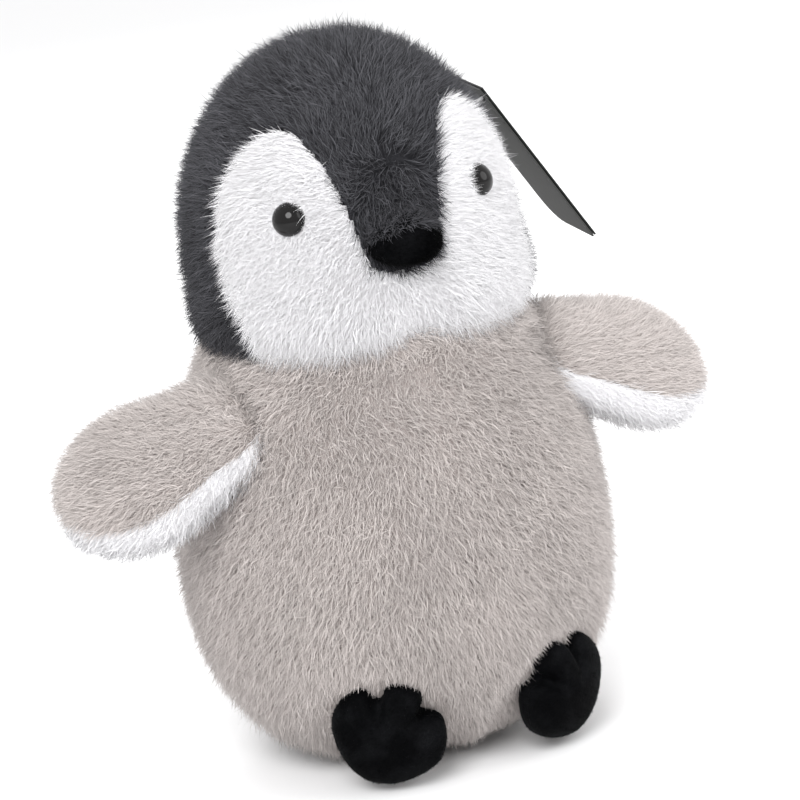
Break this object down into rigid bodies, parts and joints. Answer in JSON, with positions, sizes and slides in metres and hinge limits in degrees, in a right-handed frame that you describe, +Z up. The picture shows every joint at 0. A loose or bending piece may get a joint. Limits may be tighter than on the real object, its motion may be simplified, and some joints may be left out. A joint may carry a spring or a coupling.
{
  "type": "plush penguin",
  "caption": "Sitting baby-penguin plush toy in long-pile fabric, with springy flippers, feet and head, plastic safety eyes and a folded paper hang tag.",
  "frame": {"origin": "on the floor, under the middle of the toy's bounding box, at the centre of the flat base panel", "axes": "+Z up, the face looks along -Y, and +X is the toy's left"},
  "size_m": [0.2526, 0.1538, 0.2635],
  "materials": {
    "grey_long_pile": "matte",
    "charcoal_long_pile": "matte",
    "white_long_pile": "matte",
    "black_velour": "matte",
    "fibre_filling": "matte",
    "pellet_cloth": "matte",
    "eye_plastic": "gloss",
    "washer_plastic": "satin",
    "pin_plastic": "satin",
    "tag_card": "satin"
  },
  "bodies": {
    "body": {"body_front_panel_right": "grey_long_pile", "body_front_panel_left": "grey_long_pile", "body_back_panel_right": "grey_long_pile", "body_back_panel_left": "grey_long_pile", "base_panel": "grey_long_pile", "body_stuffing": "fibre_filling", "pellet_bag": "pellet_cloth"},
    "neck": {"neck_stuffing": "fibre_filling"},
    "head": {"face_panel_right": "white_long_pile", "face_panel_left": "white_long_pile", "hood_panel_right": "charcoal_long_pile", "hood_panel_left": "charcoal_long_pile", "eye_right": "eye_plastic", "eye_left": "eye_plastic", "eye_washer_right": "washer_plastic", "eye_washer_left": "washer_plastic", "head_stuffing": "fibre_filling", "beak_upper": "black_velour", "beak_lower": "black_velour", "beak_stuffing": "fibre_filling", "tag_pin": "pin_plastic"},
    "flipper_right": {"flipper_upper_right": "grey_long_pile", "flipper_under_right": "white_long_pile", "flipper_stuffing_right": "fibre_filling"},
    "flipper_left": {"flipper_upper_left": "grey_long_pile", "flipper_under_left": "white_long_pile", "flipper_stuffing_left": "fibre_filling"},
    "foot_right": {"foot_sole_right": "black_velour", "foot_upper_right": "black_velour", "foot_stuffing_right": "fibre_filling"},
    "foot_left": {"foot_sole_left": "black_velour", "foot_upper_left": "black_velour", "foot_stuffing_left": "fibre_filling"},
    "tag": {"tag_back": "tag_card"},
    "tag_flap": {"tag_cover": "tag_card"}
  },
  "joints": [
    {"name": "head_turn", "type": "hinge", "parent": "body", "child": "neck", "pos_m": [0, 0, 0.155], "axis": [0, 0, 1], "range_deg": [-20, 20], "stiffness_Nm_per_rad": 0.6},
    {"name": "head_nod", "type": "hinge", "parent": "neck", "child": "head", "pos_m": [0, 0, 0.155], "axis": [1, 0, 0], "range_deg": [-10, 10], "stiffness_Nm_per_rad": 0.9},
    {"name": "flipper_lift_right", "type": "hinge", "parent": "body", "child": "flipper_right", "pos_m": [-0.06207, -0.02167, 0.13266], "axis": [-0.1522, 0.7146, 0.6828], "range_deg": [-20, 22], "stiffness_Nm_per_rad": 0.08},
    {"name": "flipper_lift_left", "type": "hinge", "parent": "body", "child": "flipper_left", "pos_m": [0.06207, -0.02167, 0.13266], "axis": [-0.1522, -0.7146, -0.6828], "range_deg": [-20, 22], "stiffness_Nm_per_rad": 0.08},
    {"name": "foot_flex_right", "type": "hinge", "parent": "body", "child": "foot_right", "pos_m": [-0.0278, -0.04828, 0.0215], "axis": [0.8666, -0.4991, 0], "range_deg": [-8, 18], "stiffness_Nm_per_rad": 0.06},
    {"name": "foot_flex_left", "type": "hinge", "parent": "body", "child": "foot_left", "pos_m": [0.0278, -0.04828, 0.0215], "axis": [0.8666, 0.4991, 0], "range_deg": [-8, 18], "stiffness_Nm_per_rad": 0.06},
    {"name": "tag_turn", "type": "hinge", "parent": "head", "child": "tag", "pos_m": [0.06011, 0.00586, 0.22344], "axis": [0.8537, -0.0897, 0.513], "range_deg": [-25, 25], "stiffness_Nm_per_rad": 0.02},
    {"name": "tag_open", "type": "hinge", "parent": "tag", "child": "tag_flap", "pos_m": [0.06045, 0.00131, 0.22364], "axis": [0.515, 0, -0.8572], "range_deg": [0, 110], "stiffness_Nm_per_rad": 0.003}
  ]
}
